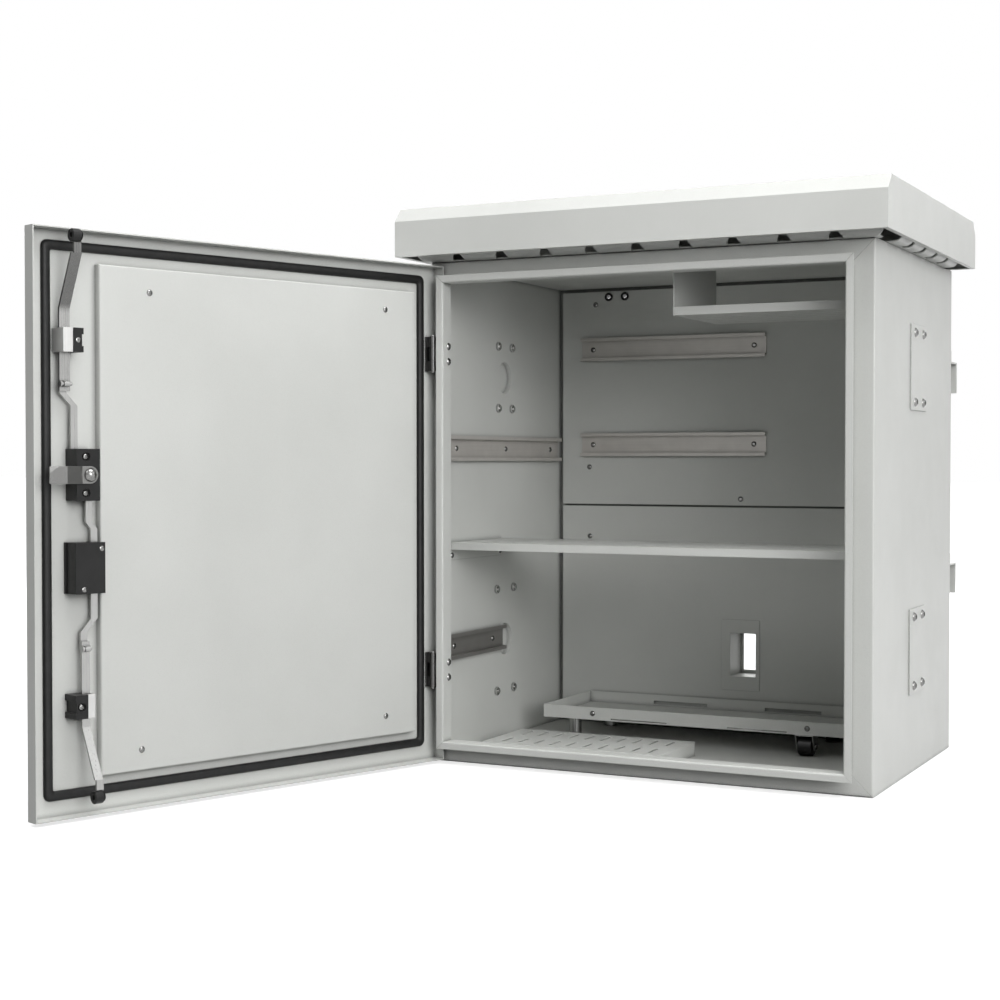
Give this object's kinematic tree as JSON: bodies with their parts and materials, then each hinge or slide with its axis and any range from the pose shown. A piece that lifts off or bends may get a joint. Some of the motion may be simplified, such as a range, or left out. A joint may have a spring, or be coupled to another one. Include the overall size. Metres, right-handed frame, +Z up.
{
  "type": "roadside utility cabinet",
  "caption": "Wall-hung sheet-metal outdoor cabinet with a hinged rod-locked door, hooded roof, equipment rails, shelves, slotted floor vent and a battery tray on casters.",
  "frame": {"origin": "middle of the underside of the body", "axes": "+Z up, -Y out of the door opening, +X to the right of a person who looks into the open cabinet"},
  "size_m": [0.8301, 1.0283, 0.735],
  "materials": {
    "painted_sheet": "satin light-grey powder coat",
    "zinc_steel": "zinc plated",
    "screw_steel": "plain steel",
    "hinge_steel": "dark steel",
    "black_plastic": "matte",
    "gasket_rubber": "foam rubber",
    "key_metal": "bright"
  },
  "bodies": {
    "cabinet": {"left_side_panel": "painted_sheet", "right_side_panel": "painted_sheet", "top_panel": "painted_sheet", "bottom_panel": "painted_sheet", "rear_panel": "painted_sheet", "upper_mounting_plate": "painted_sheet", "lower_mounting_plate": "painted_sheet", "cable_window": "painted_sheet", "roof_hood": "painted_sheet", "front_vent_strip": "painted_sheet", "rear_vent_strip": "painted_sheet", "left_vent_strip": "painted_sheet", "right_vent_strip": "painted_sheet", "upper_hanging_rail": "painted_sheet", "lower_hanging_rail": "painted_sheet", "small_cover_plates": "painted_sheet", "large_cover_plate": "painted_sheet", "middle_shelf": "painted_sheet", "hanging_shelf": "painted_sheet", "floor_vent_cover": "painted_sheet", "equipment_tray": "painted_sheet", "rear_upper_rail": "zinc_steel", "rear_lower_rail": "zinc_steel", "side_long_rail": "zinc_steel", "side_short_rail": "zinc_steel", "tray_posts": "zinc_steel", "caster_forks": "zinc_steel", "hinge_pins": "zinc_steel", "cover_plate_bolts": "screw_steel", "wall_screws": "screw_steel", "shelf_screws": "screw_steel", "caster_axles": "screw_steel", "hinge_bolts": "screw_steel", "hinge_body_leaves": "hinge_steel", "cable_bushings": "black_plastic"},
    "door": {"door_pan": "painted_sheet", "door_gasket": "gasket_rubber", "door_inner_panel": "painted_sheet", "door_panel_screws": "screw_steel", "hinge_door_leaves": "hinge_steel", "lock_case": "black_plastic", "handle_cover_box": "black_plastic", "lock_screws": "screw_steel", "rod_guide_blocks": "black_plastic", "rod_guide_clips": "zinc_steel", "handle_base": "black_plastic"},
    "handle": {"handle_hub": "screw_steel", "lock_cam": "zinc_steel", "cam_bolt": "screw_steel"},
    "lever": {"handle_lever": "black_plastic"},
    "key": {"key_plug": "key_metal"},
    "upper_rod": {"upper_drive_rod": "zinc_steel", "upper_lock_rod": "zinc_steel"},
    "lower_rod": {"lower_drive_rod": "zinc_steel", "lower_lock_rod": "zinc_steel"},
    "upper_rod_roller": {"upper_roller": "black_plastic"},
    "lower_rod_roller": {"lower_roller": "black_plastic"},
    "front_wheel": {"front_caster_wheel": "black_plastic"},
    "rear_wheel": {"rear_caster_wheel": "black_plastic"}
  },
  "joints": [
    {"name": "door_swing", "type": "hinge", "parent": "cabinet", "child": "door", "pos_m": [-0.2877, -0.22555, 0.334], "axis": [0, 0, -1], "range_deg": [-109.5, 4]},
    {"name": "handle_turn", "type": "hinge", "parent": "door", "child": "handle", "pos_m": [-0.47485, -0.71644, 0.3866], "axis": [0.9426, -0.3338, 0], "range_deg": [0, 90]},
    {"name": "lever_lift", "type": "hinge", "parent": "handle", "child": "lever", "pos_m": [-0.49285, -0.71006, 0.3866], "axis": [0.3338, 0.9426, 0], "range_deg": [0, 35]},
    {"name": "key_turn", "type": "hinge", "parent": "door", "child": "key", "pos_m": [-0.47485, -0.71644, 0.264], "axis": [0.9426, -0.3338, 0], "range_deg": [0, 90]},
    {"name": "upper_rod_slide", "type": "slide", "parent": "door", "child": "upper_rod", "axis": [0, 0, -1], "range_m": [0, 0.022]},
    {"name": "lower_rod_slide", "type": "slide", "parent": "door", "child": "lower_rod", "axis": [0, 0, 1], "range_m": [0, 0.022]},
    {"name": "upper_roller_spin", "type": "hinge", "parent": "upper_rod", "child": "upper_rod_roller", "pos_m": [-0.44418, -0.75116, 0.6495], "axis": [-0.3338, -0.9426, 0], "continuous": true},
    {"name": "lower_roller_spin", "type": "hinge", "parent": "lower_rod", "child": "lower_rod_roller", "pos_m": [-0.43597, -0.72798, 0.028], "axis": [-0.3338, -0.9426, 0], "continuous": true},
    {"name": "front_wheel_spin", "type": "hinge", "parent": "cabinet", "child": "front_wheel", "pos_m": [0.144, 0.0425, 0.0148], "axis": [1, 0, 0], "continuous": true},
    {"name": "rear_wheel_spin", "type": "hinge", "parent": "cabinet", "child": "rear_wheel", "pos_m": [0.144, 0.1775, 0.0148], "axis": [1, 0, 0], "continuous": true}
  ],
  "couplings": [
    {"joint": "upper_rod_slide", "follows": "handle_turn", "m_per_rad": 0.014},
    {"joint": "lower_rod_slide", "follows": "handle_turn", "m_per_rad": 0.014}
  ]
}
